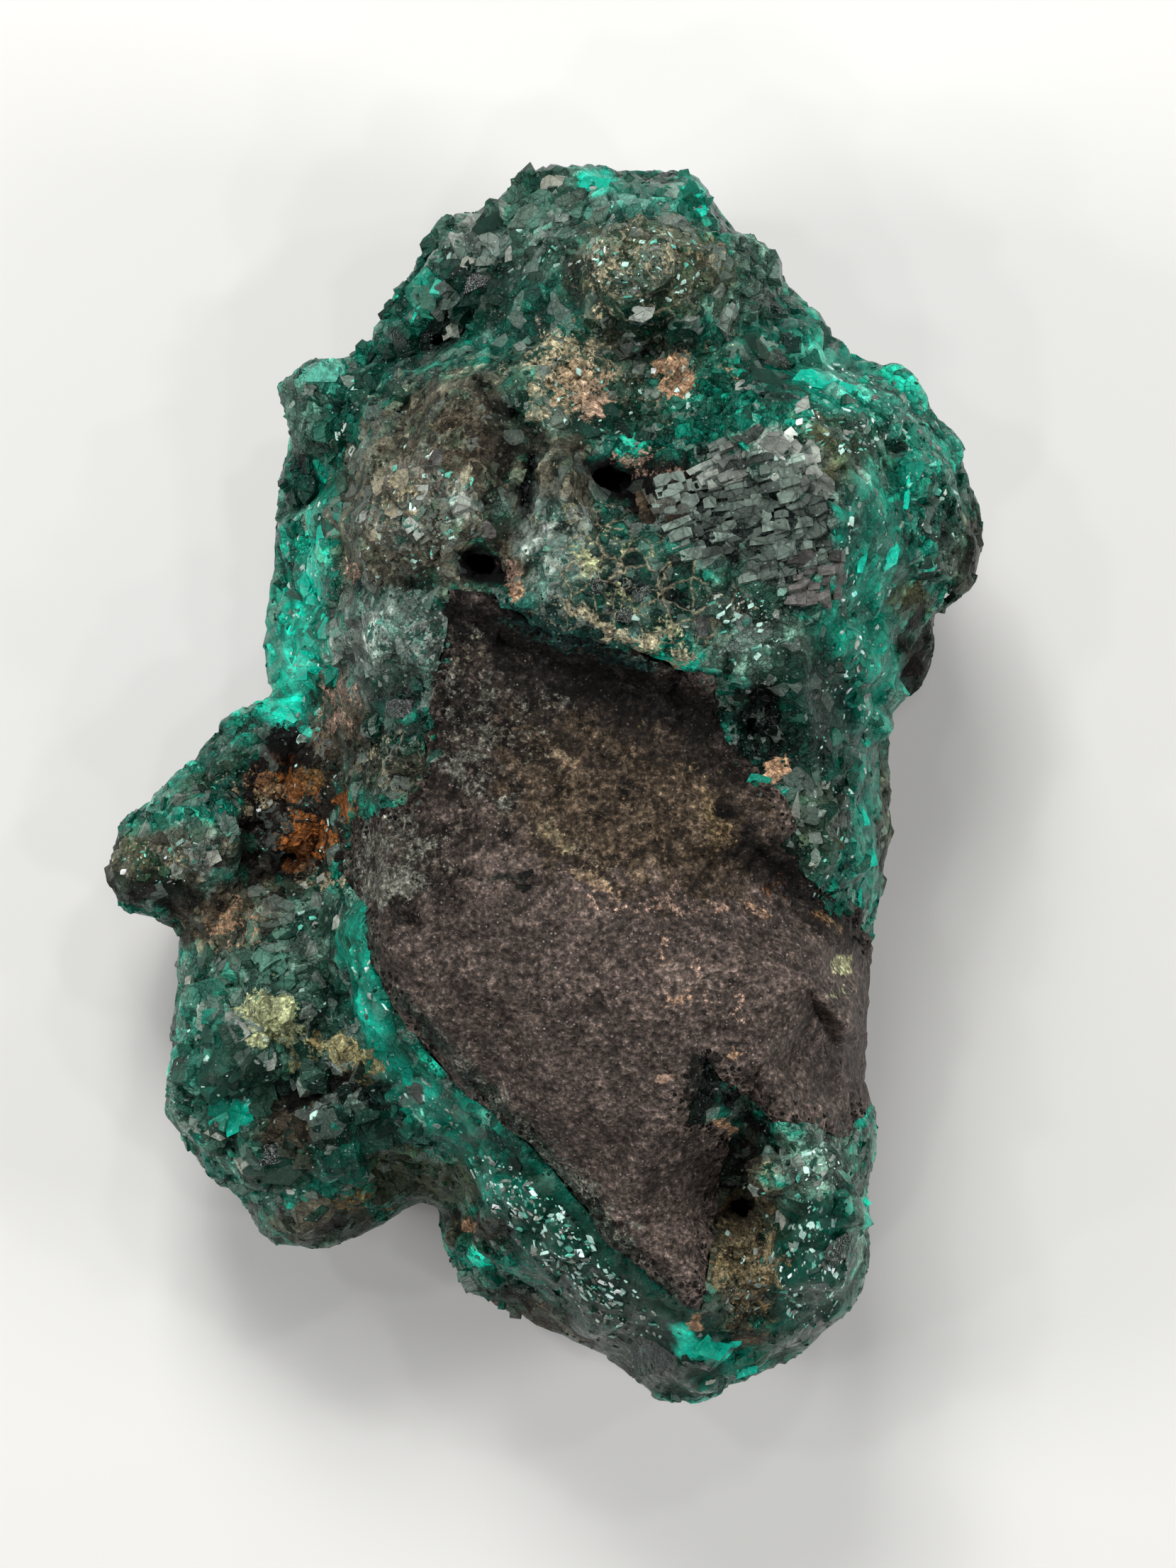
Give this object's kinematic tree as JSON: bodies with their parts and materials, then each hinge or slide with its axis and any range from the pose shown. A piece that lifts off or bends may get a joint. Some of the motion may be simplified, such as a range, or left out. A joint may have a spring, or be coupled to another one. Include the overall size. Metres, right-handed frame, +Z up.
{
  "type": "dioptase mineral specimen",
  "caption": "Rough lump of emerald-green dioptase crystals grown around a bare face of purple-brown host rock, lying on a flat back.",
  "frame": {"origin": "on the flat resting face at the back of the rock, under the middle of the specimen", "axes": "+Y along the specimen's length towards its rounded end, +Z up from the resting face towards the bare rock face, +X to the right as seen from above"},
  "size_m": [0.0413, 0.0588, 0.027],
  "materials": {
    "dioptase": "glossy blue-green crystal facets",
    "matrix_rock": "matt fine-grained rock"
  },
  "bodies": {
    "root": {"dioptase_mass": "dioptase", "matrix_rock": "matrix_rock"}
  },
  "joints": []
}
